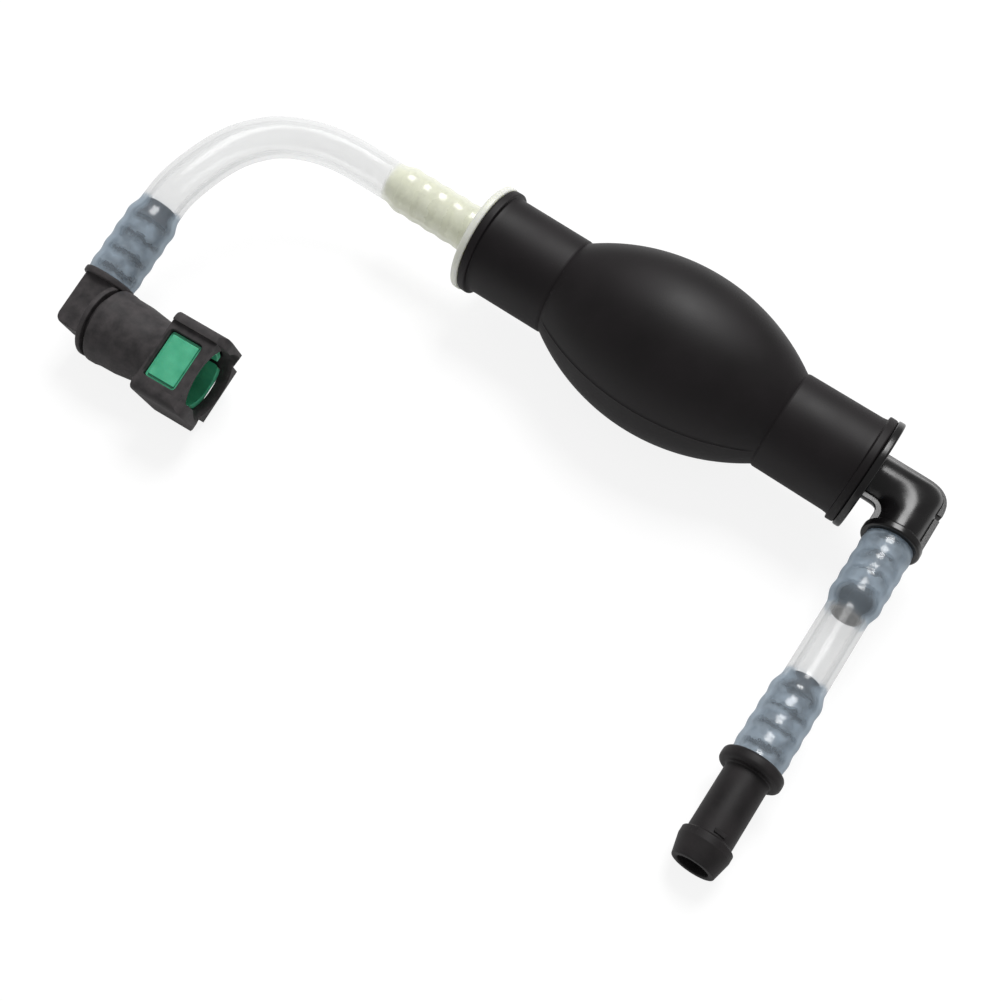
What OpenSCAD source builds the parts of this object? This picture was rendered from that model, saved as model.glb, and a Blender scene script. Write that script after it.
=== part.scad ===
// Hand priming bulb pump for a fuel line.
// A hollow rubber bulb holds a check valve in each neck. Squeezing the bulb pushes fuel out of the
// outlet valve, and letting go draws fuel in through the inlet valve. Each valve body carries a
// short hose: one ends in a quick connector with a two-button retainer, the other in a beaded stub.
// +X runs along the bulb from inlet to outlet, +Z is up, and the origin is the middle of the bulb.
// The pump lies on a level surface: belly, stub bead and connector head touch it.

/* [Bulb] */
// Diameter of the bulb's belly
belly_d = 42; // [36:0.5:50]
// Length of the belly, from crease to crease
belly_len = 58; // [50:0.5:66]
// Thickness of the rubber over the belly
belly_wall = 2.8; // [1.8:0.1:4]
// Diameter of the bores through the necks
neck_bore_d = 20.4; // [19:0.2:21.5]
// Thickness of the rubber round the necks
neck_wall = 2.2; // [1.6:0.1:3]
// Distance between the inner faces of the two rims
rim_gap = 100; // [96:0.5:120]
// How far the rims stand out from the necks
rim_step = 1.1; // [0.6:0.1:2]
// Length of each rim along the bulb
rim_t = 2.2; // [1.4:0.1:4]
// Depth of the crease between belly and neck
crease_depth = 0.5; // [0.2:0.1:1]
// Length of the panel of the belly that the thumb pushes in
crown_len = 40; // [30:1:44]
// Width of that panel
crown_w = 22; // [16:1:28]

/* [Valve bodies] */
// How far the flanges stand out past the bulb's rims
flange_lip = 0.2; // [0:0.1:1.5]
// Thickness of the flanges
flange_t = 1.8; // [1.2:0.1:3]
// Length of the plug that each valve body puts into its neck
plug_len = 21; // [19:0.5:24]
// Wall of the plugs round the valve chambers
plug_wall = 2.6; // [1.8:0.1:3.4]
// Depth of the inlet valve's chamber
inlet_chamber_len = 15; // [13:0.5:16]
// Depth of the outlet valve's chamber
outlet_chamber_len = 13; // [11:0.5:14]
// Diameter of the poppets' heads
poppet_d = 10; // [9:0.2:11]
// Thickness of the poppets' heads
poppet_t = 1.2; // [0.8:0.1:2]
// Diameter of the poppets' stems
poppet_stem_d = 3; // [2:0.1:4]
// Thickness of the flat rubber seals on the poppets
seal_t = 0.8; // [0.5:0.1:1.5]
// How far a poppet lifts off its seat
valve_lift = 2; // [1:0.1:2.5]
// Free passage through the valve bodies
passage_d = 5.6; // [4:0.2:6.2]
// Thickness of the drilled walls that guide the poppets' stems
guide_t = 2.4; // [1.5:0.1:3]
// Diameter of the holes that let fuel through those walls
guide_hole_d = 2.6; // [1.6:0.1:3]
// Thickness of the seat ring in the outlet valve
seat_t = 3.4; // [2:0.1:4]

/* [Hose tails] */
// Diameter of the tails between their barbs
tail_d = 8; // [7:0.1:8.4]
// Diameter over the barbs
barb_d = 9.6; // [9:0.1:10]
// Distance from one barb to the next
barb_pitch = 4.6; // [3.6:0.1:5]
// Number of barbs on a tail
barb_count = 4; // [2:1:4]
// Length of the barbed tail on the inlet valve body
inlet_tail_len = 27; // [22:0.5:34]
// Length of the barbed tails on the elbow and the quick connector
tail_len = 20.6; // [20:0.2:26]
// Length of the barbed tail on the outlet stub
stub_tail_len = 21.6; // [20:0.2:26]

/* [Elbow] */
// Distance from the outlet flange to the middle of the elbow
elbow_reach = 11; // [9:0.5:14]
// Diameter of the elbow's two arms
arm_d = 10.6; // [9.6:0.2:12]
// Distance from the middle of the elbow to the end of its collar
arm_len = 13; // [11:0.5:18]
// How far the hose stop collars stand out from the arms
collar_step = 1.7; // [1:0.1:2.4]
// Thickness of the elbow's collar
elbow_collar_t = 2.2; // [1.4:0.1:3]
// Height of the rib that runs round the elbow
rib_h = 1.6; // [0.8:0.1:2.4]
// Thickness of that rib
rib_t = 1.6; // [1:0.1:2.4]
// Height of the web inside the elbow's corner
web_h = 0.7; // [0.4:0.1:1.5]
// How far the outlet arm dips below level
outlet_dip = 9.5; // [9:0.1:10]

/* [Outlet stub] */
// Distance from the middle of the elbow to the stub's collar
stub_at = 73; // [70:0.5:76]
// Thickness of the stub's collar
stub_collar_t = 3; // [2:0.1:4]
// Diameter of the stub's plain stem
stub_d = 9.9; // [9:0.1:10.6]
// Length of the stub from the hose side of its collar to its open end
stub_len = 25; // [20:0.5:30]
// How far the bead stands out from the stem
bead_step = 0.75; // [0.4:0.05:1.2]
// Length of the bead's full diameter
bead_land = 1.6; // [1:0.1:3]
// Length of the taper in front of the bead
bead_taper = 4.4; // [3:0.1:6]
// Bore of the stub
stub_bore_d = 7; // [5:0.1:7.6]
// Thickness of the stub's wall at its open end
stub_tip_wall = 1.2; // [0.8:0.1:1.6]

/* [Quick connector] */
// Turn of the connector's barrel about the vertical
conn_yaw = 4; // [0:0.5:8]
// Turn of the connector about its barrel
conn_roll = 24; // [20:1:28]
// Distance from the barrel's axis to the face that the hose stops at
conn_arm_len = 9.4; // [9:0.2:12]
// Diameter of the spigot that the connector takes
spigot_d = 7.89; // [7.6:0.01:8.1]
// Difference between spigot and socket diameters
spigot_clearance = 0.11; // [0.06:0.01:0.2]
// Cross-section diameter of the two sealing rings
o_ring_cs = 2.2; // [1.8:0.1:2.4]
// Thickness of the barrel round the sealing rings
barrel_wall = 2.3; // [1.8:0.1:3]
// Distance from the hose tail's axis to the rear of the square head
head_at = 22; // [21:0.5:24]
// Length of the square head, to the ends of its side walls
head_len = 13.5; // [12.5:0.5:15]
// Thinnest wall between the head's mouth and its flat sides
head_wall = 1.8; // [1.4:0.1:2.6]
// Chamfer on the head's long corners
head_chamfer = 2.5; // [1:0.1:3]
// Space between the spigot and the retainer's band
band_space = 2.6; // [2.2:0.1:3.2]
// Thickness of the retainer's band
band_t = 1.3; // [1:0.1:1.6]
// Length of the windows that the release pads stand in
window_len = 8; // [6:0.1:8.2]
// Width of those windows
window_w = 11.6; // [9:0.1:12]
// How far a release pad is pressed in
pad_travel = 1.4; // [0.8:0.1:1.5]
// How far a latch moves out for each millimetre that a pad is pressed
latch_ratio = 0.6; // [0.4:0.05:0.65]

/* [Hoses] */
// Outer diameter of the hoses
hose_d = 10; // [9:0.1:11]
// Bore of the hoses
hose_bore_d = 8; // [6.5:0.1:8.4]

/* [Hidden] */

$fn = 72;
eps = 0.01;          // overlap that lets one shape run into the next
slip = 0.05;         // radial clearance of a part that slides in a bore
soft_gap = 0.3;      // gap round a part that moves in a pocket
past = 1;            // how far a cut runs past the face it starts from

// Bulb
belly_r = belly_d / 2;
neck_bore_r = neck_bore_d / 2;
neck_r = neck_bore_r + neck_wall;
rim_r = neck_r + rim_step;
crease_x = belly_len / 2;
rim_x = rim_gap / 2;
end_x = rim_x + rim_t;
belly_rise = belly_r - neck_r;
belly_arc = (pow(crease_x, 2) + pow(belly_rise, 2)) / (2 * belly_rise);
belly_bands = 24;
crease_r = 1.2;
rim_soften = 0.4;

// Valve bodies
flange_r = rim_r + flange_lip;
flange_x = end_x + flange_t;
plug_r = neck_bore_r - slip;
plug_end = end_x - plug_len;
plug_rib_bite = 0.25;
plug_rib_pitch = 5;
plug_rib_len = 1.2;
passage_r = passage_d / 2;
chamber_r = plug_r - plug_wall;
poppet_r = poppet_d / 2;
poppet_stem_r = poppet_stem_d / 2;
seal_lap = 0.4;
spring_wire = 0.6;
spring_r = poppet_stem_r + 1.6 + spring_wire;

// Inlet valve, set out from the inner end of its plug
inlet_cage_x = -plug_end - guide_t;
inlet_seat_x = -plug_end - inlet_chamber_len;
inlet_head_x = inlet_seat_x + seal_t;

// Outlet valve, set out from the inner end of its plug
outlet_seat_x = plug_end + seat_t;
outlet_head_x = outlet_seat_x + seal_t;
outlet_guide_x = plug_end + outlet_chamber_len;

// Elbow and stub
corner_x = flange_x + elbow_reach;
arm_r = arm_d / 2;
collar_r = arm_r + collar_step;
ball_step = 0.2;
rib_r = arm_r + rib_h;
rib_round = 4;
rib_notch = [0.4, 1.2];
bead_r = stub_d / 2 + bead_step;
bead_rise = 0.4;

// Quick connector: lengths run from the hose tail's axis, out along the barrel
conn_at = [-flange_x - 57, -74, -8.8];
socket_r = (spigot_d + spigot_clearance) / 2;
ring_in = socket_r + slip;
ring_out = ring_in + o_ring_cs;
band_in = socket_r + band_space;
band_out = band_in + band_t;
mouth_r = band_out + soft_gap;
head_w = 2 * (mouth_r + head_wall);
barrel_r = ring_out + slip + barrel_wall;
root_len = 3.4;
groove_x = 4.6;
groove_depth = 1.4;
lip_x = 5.8;
lip_len = 1.8;
lip_h = 0.3;
waist_x = 13;
waist_depth = 0.7;
ring_x = 8;
bush_x = head_at - 6.5;
bush_end = head_at + 0.8;
bush_step = 0.6;
spacer_x = ring_x + o_ring_cs + 2 * slip;
spacer_end = bush_x - o_ring_cs - 2 * slip;
front_x = head_at + head_len;
window_x = head_at + 0.9;
band_x = window_x + soft_gap;
band_len = window_len - 2 * soft_gap;
pad_top = head_w / 2 - 1.4;
rail_in = head_w / 2 - 2.7;
rail_top = 0.8;
rail_front = 2.2;
cheek_turn = 4;
pad_half = window_w / 2 - soft_gap;
latch_gap = 0.46;
latch_half = sqrt(pow(band_in, 2) - pow(pad_half, 2)) - latch_gap;
hook_half = latch_half - 1.5;
hook_lip = 0.7;
hook_at = 2.7;
hook_len = 2.2;
pocket_r = band_out + pad_travel * latch_ratio + soft_gap;
pocket_half = latch_half + soft_gap;
conn_collar_t = 1.6;
elbow_back = 5.4;
elbow_foot = 6.4;
elbow_round = 3.4;

// Hoses: their ends stretch over the barbs. The inlet route starts at the flange's outer face, and
// the outlet hose runs straight down the elbow's arm.
barb_gap = 0.15;
stretch = barb_d + 2 * barb_gap - hose_bore_d;
hose_sides = 12;
inlet_route = [
    [0, 0, 0], [-4, 0, 0], [-8, 0, 0], [-12, 0, 0], [-16, 0, 0], [-20, 0, 0], [-24, 0, 0],
    [-28, 0, 0], [-33.5, -0.5, 0.5], [-39.5, -2, 2], [-45, -4.5, 3.5], [-49.5, -8.5, 5],
    [-53, -13, 6.3], [-55.5, -18.5, 7], [-57.2, -24, 7.3], [-58.2, -30, 7], [-58.7, -35.5, 6.4],
    [-59, -40, 5.7], [-59.1, -43.6, 4.7], [-58.9, -47.2, 3.2], [-58.6, -50.9, 1.5],
    [-58.4, -54.5, -0.1], [-58.1, -58.1, -1.7], [-57.9, -61.8, -3.4], [-57.6, -65.4, -5],
];
outlet_steps = 15;
outlet_route = [
    for (k = [0:outlet_steps]) [0, 0, arm_len + k * (stub_at - arm_len) / outlet_steps],
];

// ---- placing ----

// Turns a shape drawn along +Z to lie along +X, and moves it x along the bulb.
module along_x(x = 0) { translate([x, 0, 0]) rotate([0, 90, 0]) children(); }

// Puts a shape drawn along +Z on the outlet arm, with z = 0 at the middle of the elbow.
module on_outlet_arm() {
    translate([corner_x, 0, 0]) rotate([90 + outlet_dip, 0, 0]) children();
}

// The connector's own frame: +X out of its mouth, +Y along its hose tail, +Z out of a window.
module in_connector() {
    translate(conn_at) rotate([0, 0, conn_yaw]) rotate([conn_roll, 0, 0]) children();
}

// ---- shared shapes ----

// A tube along +Z.
module pipe(r_out, r_in, h) {
    difference() {
        cylinder(r = r_out, h = h);
        translate([0, 0, -past]) cylinder(r = r_in, h = h + 2 * past);
    }
}

// Barbed hose tail along +Z, standing on z = 0, without its bore. It sinks a little into its base.
module barbed_tail(length) {
    tip_r = tail_d / 2 - 0.5;
    translate([0, 0, -eps]) cylinder(d = tail_d, h = length - barb_pitch + eps);
    for (k = [0:barb_count - 1])
        translate([0, 0, length - barb_pitch * (k + 1)])
            cylinder(r1 = barb_d / 2, r2 = k == 0 ? tip_r : tail_d / 2, h = barb_pitch);
}

// A plug for a neck along +Z, standing on z = 0, with ribs that bite into the rubber.
module neck_plug() {
    translate([0, 0, -eps]) cylinder(r = plug_r, h = plug_len + eps);
    for (k = [1:3])
        translate([0, 0, k * plug_rib_pitch - plug_rib_len])
            cylinder(r1 = neck_bore_r + plug_rib_bite, r2 = plug_r, h = plug_rib_len);
}

// A disc with softened edges, along +Z from z = 0.
module soft_disc(r, t, soften = 0.3) {
    rotate_extrude()
        polygon([[0, 0], [r - soften, 0], [r, soften], [r, t - soften], [r - soften, t], [0, t]]);
}

// Holes through the wall that guides a poppet: one for its stem, and a ring that lets fuel by.
module guide_holes() {
    rim = 0.9;
    translate([0, 0, -past]) cylinder(r = poppet_stem_r + slip, h = guide_t + 2 * past);
    for (k = [0:4])
        rotate(k * 72) translate([chamber_r - rim - guide_hole_d / 2, 0, -past])
            cylinder(d = guide_hole_d, h = guide_t + 2 * past);
}

// Poppet along +Z: the head stands on z = 0 and the stem points up.
module poppet(stem_len) {
    cylinder(r = poppet_r, h = poppet_t);
    cylinder(r = poppet_stem_r, h = poppet_t + stem_len);
}

// Flat rubber ring that seals a poppet on its seat.
module poppet_seal() { pipe(poppet_r, passage_r - seal_lap, seal_t); }

// Space that a poppet's coil spring fills.
module spring_space(length) { pipe(spring_r, spring_r - spring_wire, length); }

// ---- bulb ----

// Radius of the belly at x along the bulb, set in from its outside.
function belly_at(x, inset) = sqrt(pow(belly_arc - inset, 2) - pow(x, 2)) + belly_r - belly_arc;

// Half section of the belly, as an arc drawn in short straight bands.
module belly_section(inset) {
    half = crease_x - inset;
    step = 2 * half / belly_bands;
    polygon(concat([[0, -half]],
                   [for (k = [0:belly_bands]) [belly_at(k * step - half, inset), k * step - half]],
                   [[0, half]]));
}

// Half section of the two necks and their rims.
module neck_section() {
    in = rim_r - rim_soften;
    edge = rim_x + rim_soften;
    far = end_x - rim_soften;
    polygon([[0, -end_x], [in, -end_x], [rim_r, -far], [rim_r, -edge], [in, -rim_x],
             [neck_r, -rim_x], [neck_r, rim_x],
             [in, rim_x], [rim_r, edge], [rim_r, far], [in, end_x], [0, end_x]]);
}

module bulb_skin() {
    rotate([0, 90, 0]) rotate_extrude() difference() {
        union() {
            belly_section(0);
            neck_section();
        }
        belly_section(belly_wall);
        translate([0, -end_x - past]) square([neck_bore_r, 2 * (end_x + past)]);
        for (side = [-1, 1])
            translate([neck_r + crease_r - crease_depth, side * (crease_x + 0.8)])
                circle(r = crease_r);
    }
}

// Upright prism that the thumb panel is cut out with.
module crown_prism(grow) {
    r = crown_w / 2;
    linear_extrude(height = belly_r + past) {
        for (side = [-1, 1]) translate([side * (crown_len / 2 - r), 0]) circle(r = r + grow);
        square([crown_len - 2 * r, crown_w + 2 * grow], center = true);
    }
}

module bulb() {
    color("#232325") difference() {
        bulb_skin();
        crown_prism(soft_gap);
    }
}

module bulb_crown() {
    color("#2b2b2d") intersection() {
        bulb_skin();
        crown_prism(0);
    }
}

// ---- inlet valve ----

module inlet_valve_body() {
    tail_end = flange_x + inlet_tail_len;
    color("#d9dfc6") difference() {
        union() {
            along_x(-flange_x) soft_disc(flange_r, flange_t);
            along_x(-end_x) neck_plug();
            mirror([1, 0, 0]) along_x(flange_x) barbed_tail(inlet_tail_len);
        }
        along_x(-tail_end - past) cylinder(r = passage_r, h = tail_end + inlet_seat_x + 2 * past);
        along_x(inlet_seat_x) cylinder(r = chamber_r, h = inlet_chamber_len + past);
    }
}

module inlet_poppet() {
    color("#c9cdb8") along_x(inlet_head_x) poppet(-plug_end - inlet_head_x - poppet_t);
}

module inlet_poppet_seal() { color("#3a3a3c") along_x(inlet_seat_x) poppet_seal(); }

module inlet_spring() {
    start = inlet_head_x + poppet_t;
    color("#b9bcc0") along_x(start) spring_space(inlet_cage_x - start);
}

module inlet_cage() {
    color("#e6e8dc") along_x(inlet_cage_x) difference() {
        cylinder(r = chamber_r, h = guide_t);
        guide_holes();
    }
}

// ---- outlet valve and elbow ----

// Rib in the elbow's own plane, drawn with x along the bulb and y along the outlet arm.
module elbow_rib() {
    web = arm_r + web_h;
    c = rib_r - rib_round;
    foot = arm_len - elbow_collar_t / 2;
    notch_end = rib_notch[0] + rib_notch[1];
    translate([corner_x, 0, 0]) rotate([180 + outlet_dip, 0, 0])
        linear_extrude(height = rib_t, center = true)
            polygon(concat([[-elbow_reach, -rib_r]],
                           [for (a = [-90:15:0]) [c + rib_round * cos(a), rib_round * sin(a) - c]],
                           [[rib_r, rib_notch[0]], [arm_r - 1, rib_notch[0]]],
                           [[arm_r - 1, notch_end], [rib_r, notch_end], [rib_r, foot]],
                           [[-web, foot], [-web, web], [-elbow_reach, web]]));
}

module outlet_valve_body() {
    guide_end = outlet_guide_x + guide_t;
    color("#1c1c1e") difference() {
        union() {
            along_x(end_x) soft_disc(flange_r, flange_t);
            mirror([1, 0, 0]) along_x(-end_x) neck_plug();
            along_x(end_x) cylinder(r = arm_r, h = corner_x - end_x);
            translate([corner_x, 0, 0]) sphere(r = arm_r + ball_step);
            on_outlet_arm() cylinder(r = arm_r, h = arm_len - elbow_collar_t / 2);
            elbow_rib();
            on_outlet_arm() translate([0, 0, arm_len - elbow_collar_t])
                soft_disc(collar_r, elbow_collar_t, 0.6);
            on_outlet_arm() translate([0, 0, arm_len]) barbed_tail(tail_len);
        }
        along_x(plug_end - past) cylinder(r = chamber_r, h = outlet_chamber_len + past);
        along_x(outlet_guide_x) guide_holes();
        along_x(guide_end) cylinder(r = chamber_r - 0.5, h = valve_lift);
        along_x(guide_end) cylinder(r = passage_r, h = corner_x - guide_end);
        translate([corner_x, 0, 0]) sphere(r = passage_r + ball_step);
        on_outlet_arm() cylinder(r = passage_r, h = arm_len + tail_len + past);
    }
}

module outlet_seat() { color("#d8dac8") along_x(plug_end) pipe(chamber_r, passage_r, seat_t); }

module outlet_poppet() {
    stem_end = outlet_guide_x + guide_t;
    color("#c9cdb8") along_x(outlet_head_x) poppet(stem_end - outlet_head_x - poppet_t);
}

module outlet_poppet_seal() { color("#3a3a3c") along_x(outlet_seat_x) poppet_seal(); }

module outlet_spring() {
    start = outlet_head_x + poppet_t;
    color("#b9bcc0") along_x(start) spring_space(outlet_guide_x - start);
}

// ---- hoses ----

// Point at t along one span of a smooth curve that four route points steer.
function span_point(a, b, c, d, t) =
    (pow(1 - t, 3) * a + (3 * pow(t, 3) - 6 * pow(t, 2) + 4) * b
     + (-3 * pow(t, 3) + 3 * pow(t, 2) + 3 * t + 1) * c + pow(t, 3) * d) / 6;

// Route with one more point past each end, so that the curve starts and stops on the end points.
function with_ends(p) =
    concat([2 * p[0] - p[1]], p, [2 * p[len(p) - 1] - p[len(p) - 2]]);

// Smooth centre line, with one point at each route point.
function smooth_line(p) =
    let (q = with_ends(p), n = len(p))
    concat([for (k = [0:n - 2]) span_point(q[k], q[k + 1], q[k + 2], q[k + 3], 0)], [p[n - 1]]);

function unit(v) = v / norm(v);
function line_dir(p, k) = unit(p[min(k + 1, len(p) - 1)] - p[max(k - 1, 0)]);
function walked(p, k) = k == 0 ? 0 : walked(p, k - 1) + norm(p[k] - p[k - 1]);

// How much wider a hose is at s from an end that is pushed over a tail of this length: all of the
// stretch as far as the last barb, and nothing past the tail's tip.
function swell(s, tail) =
    let (full = tail - barb_pitch + 1, none = tail + 1.5)
    s < full ? stretch : s > none ? 0 : stretch * (none - s) / (none - full);

// Ring of points of radius r round point k of the line.
function ring(p, k, r) =
    let (d = line_dir(p, k), u = unit(cross([0.3, 0.1, 1], d)), v = cross(d, u))
    [for (j = [0:hose_sides - 1])
        p[k] + r * (cos(j * 360 / hose_sides) * u + sin(j * 360 / hose_sides) * v)];

// Two triangles for each side between ring a and ring b, whose first points have these numbers.
function band(a, b) =
    [for (j = [0:hose_sides - 1]) let (i = (j + 1) % hose_sides)
        each [[a + j, b + j, b + i], [a + j, b + i, a + i]]];

// Hollow hose along a route, as one closed solid. Its ends go over tails of the two lengths.
module hose(route, first_tail, last_tail) {
    p = smooth_line(route);
    last = len(p) - 1;
    total = walked(p, last);
    flat = 1 / cos(180 / hose_sides);
    grown = [for (k = [0:last])
        let (s = walked(p, k)) max(swell(s, first_tail), swell(total - s, last_tail))];
    outer = [for (k = [0:last]) each ring(p, k, (hose_d + grown[k]) / 2 * flat)];
    inner = [for (k = [0:last]) each ring(p, k, (hose_bore_d + grown[k]) / 2 * flat)];
    off = len(outer);
    skin = [for (k = [0:last - 1]) each band((k + 1) * hose_sides, k * hose_sides)];
    bore = [for (k = [0:last - 1]) each band(off + k * hose_sides, off + (k + 1) * hose_sides)];
    polyhedron(points = concat(outer, inner),
               faces = concat(skin, bore, band(0, off),
                              band(off + last * hose_sides, last * hose_sides)));
}

module inlet_hose() {
    color("#e9ebe6") translate([-flange_x, 0, 0]) hose(inlet_route, inlet_tail_len, tail_len);
}

module outlet_hose() { color("#e4e7ea") on_outlet_arm() hose(outlet_route, tail_len, stub_tail_len); }

// ---- stub ----

module outlet_stub() {
    bead_end = stub_len - bead_taper;
    bead_start = bead_end - bead_land;
    through = stub_tail_len + past;
    color("#1a1a1c") on_outlet_arm() translate([0, 0, stub_at]) difference() {
        union() {
            soft_disc(collar_r, stub_collar_t, 0.8);
            cylinder(d = stub_d, h = bead_end);
            translate([0, 0, bead_start - bead_rise])
                cylinder(r1 = stub_d / 2, r2 = bead_r, h = bead_rise + eps);
            translate([0, 0, bead_start]) cylinder(r = bead_r, h = bead_land);
            translate([0, 0, bead_end])
                cylinder(r1 = bead_r, r2 = stub_bore_d / 2 + stub_tip_wall, h = bead_taper);
            mirror([0, 0, 1]) barbed_tail(stub_tail_len);
        }
        translate([0, 0, -through]) cylinder(r = passage_r, h = through + past);
        cylinder(d = stub_bore_d, h = stub_len + past);
    }
}

// ---- quick connector ----

// Square section with chamfered corners, along +X from x.
module head_block(x, length) {
    h = head_w / 2;
    c = h - head_chamfer;
    translate([x, 0, 0]) rotate([90, 0, 90]) linear_extrude(height = length)
        polygon([[-h, -c], [-c, -h], [c, -h], [h, -c], [h, c], [c, h], [-c, h], [-h, c]]);
}

// Barrel with its rear flange, groove, lip and waist, along +X from the hose tail's axis.
module barrel() {
    waist_r = barrel_r - waist_depth;
    lip_end = lip_x + lip_len;
    rotate([0, 90, 0]) rotate_extrude()
        polygon([[0, 0], [arm_r, 0], [arm_r, root_len], [barrel_r, root_len], [barrel_r, groove_x],
                 [barrel_r - groove_depth, groove_x], [barrel_r - groove_depth, lip_x],
                 [barrel_r + lip_h, lip_x], [barrel_r + lip_h, lip_end - lip_h], [barrel_r, lip_end],
                 [barrel_r, waist_x], [waist_r, waist_x + 2], [waist_r, head_at + eps],
                 [0, head_at + eps]]);
}

// Block that turns the flow from the hose tail into the barrel, with one rounded corner.
module elbow_block() {
    height = 1.8 * arm_r;
    c = elbow_back - elbow_round;
    d = elbow_foot - elbow_round;
    translate([0, 0, -height / 2]) linear_extrude(height = height)
        polygon(concat([for (a = [180:15:270]) [elbow_round * cos(a) - c, elbow_round * sin(a) - d]],
                       [[root_len + eps, -elbow_foot], [root_len + eps, conn_arm_len - conn_collar_t / 2],
                        [-elbow_back, conn_arm_len - conn_collar_t / 2]]));
}

module connector_body() {
    color("#1e1e20") in_connector() difference() {
        union() {
            elbow_block();
            rotate([-90, 0, 0]) cylinder(r = arm_r, h = conn_arm_len - conn_collar_t / 2);
            rotate([-90, 0, 0]) translate([0, 0, conn_arm_len - conn_collar_t])
                soft_disc(arm_r + collar_step / 2, conn_collar_t);
            rotate([-90, 0, 0]) translate([0, 0, conn_arm_len]) barbed_tail(tail_len);
            barrel();
            head_block(head_at, head_len);
        }
        // bore from the hose tail to the seals
        rotate([-90, 0, 0]) cylinder(r = passage_r, h = conn_arm_len + tail_len + past);
        sphere(r = passage_r + ball_step);
        along_x() cylinder(r = passage_r, h = root_len + past);
        // socket, seals, bush seat and mouth
        along_x(root_len) cylinder(r = socket_r, h = ring_x - root_len + past);
        along_x(ring_x) cylinder(r = ring_out + slip, h = bush_x - ring_x + past);
        along_x(bush_x) cylinder(r = ring_out + bush_step, h = bush_end - bush_x + past);
        along_x(bush_end) cylinder(r = mouth_r, h = front_x - bush_end + past);
        // the side walls' ends, rounded above and below, and the faces between them, set back in
        // front, above and below
        for (side = [0, 180])
            rotate([side, 0, 0]) translate([front_x - cheek_turn, 0, head_w / 2 - cheek_turn])
                difference() {
                    translate([0, -head_w, 0]) cube([head_w, 2 * head_w, head_w]);
                    rotate([90, 0, 0]) cylinder(r = cheek_turn, h = 4 * head_w, center = true);
                }
        translate([front_x - rail_front, -rail_in, -head_w]) cube([head_w, 2 * rail_in, 2 * head_w]);
        for (side = [0, 180])
            rotate([side, 0, 0]) translate([head_at - past, -rail_in, head_w / 2 - rail_top])
                cube([head_w, 2 * rail_in, head_w]);
        // windows for the pads, and pockets that the latches move out into
        translate([window_x, -window_w / 2, -head_w]) cube([window_len, window_w, 2 * head_w]);
        translate([window_x, -pocket_r, -pocket_half]) cube([window_len, 2 * pocket_r, 2 * pocket_half]);
    }
}

module connector_o_rings() {
    color("#2f6b4a") in_connector()
        for (x = [ring_x + slip, spacer_end + slip])
            along_x(x + o_ring_cs / 2) rotate_extrude()
                translate([ring_in + o_ring_cs / 2, 0]) circle(d = o_ring_cs);
}

module connector_spacer() {
    color("#101012") in_connector() along_x(spacer_x)
        pipe(ring_out, ring_in + slip, spacer_end - spacer_x);
}

module connector_bush() {
    color("#17171a") in_connector() along_x(bush_x)
        pipe(ring_out + bush_step, socket_r, bush_end - bush_x);
}

// The retainer is a springy ring. Pressing its two pads makes it oval, and its two latches move out.
module retainer_band() { along_x(band_x) pipe(band_out, band_in, band_len); }

module release_pad() {
    color("#3fae7e") {
        intersection() {
            retainer_band();
            translate([window_x, -pad_half, 0]) cube([window_len, 2 * pad_half, head_w]);
        }
        difference() {
            translate([band_x, -pad_half, 0]) cube([band_len, 2 * pad_half, pad_top]);
            along_x(window_x - past) cylinder(r = band_out - soft_gap, h = window_len + 2 * past);
        }
    }
}

module release_pad_upper() { in_connector() release_pad(); }

module release_pad_lower() { in_connector() rotate([180, 0, 0]) release_pad(); }

module latch() {
    color("#1f7a4f") {
        intersection() {
            retainer_band();
            translate([window_x, 0, -latch_half]) cube([window_len, head_w, 2 * latch_half]);
        }
        intersection() {
            along_x(window_x + hook_at) pipe(band_in + slip, socket_r + hook_lip, hook_len);
            translate([window_x, 0, -hook_half]) cube([window_len, head_w, 2 * hook_half]);
        }
    }
}

module latch_rear() { in_connector() latch(); }

module latch_front() { in_connector() rotate([180, 0, 0]) latch(); }

// ---- assembly ----

bulb();
bulb_crown();
inlet_valve_body();
inlet_poppet();
inlet_poppet_seal();
inlet_spring();
inlet_cage();
outlet_valve_body();
outlet_seat();
outlet_poppet();
outlet_poppet_seal();
outlet_spring();
inlet_hose();
outlet_hose();
outlet_stub();
connector_body();
connector_o_rings();
connector_spacer();
connector_bush();
release_pad_upper();
release_pad_lower();
latch_rear();
latch_front();
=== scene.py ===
"""Hand priming bulb pump for a fuel line: its looks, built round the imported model."""

import math

import bmesh
import bpy
from mathutils import Matrix, Vector


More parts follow.
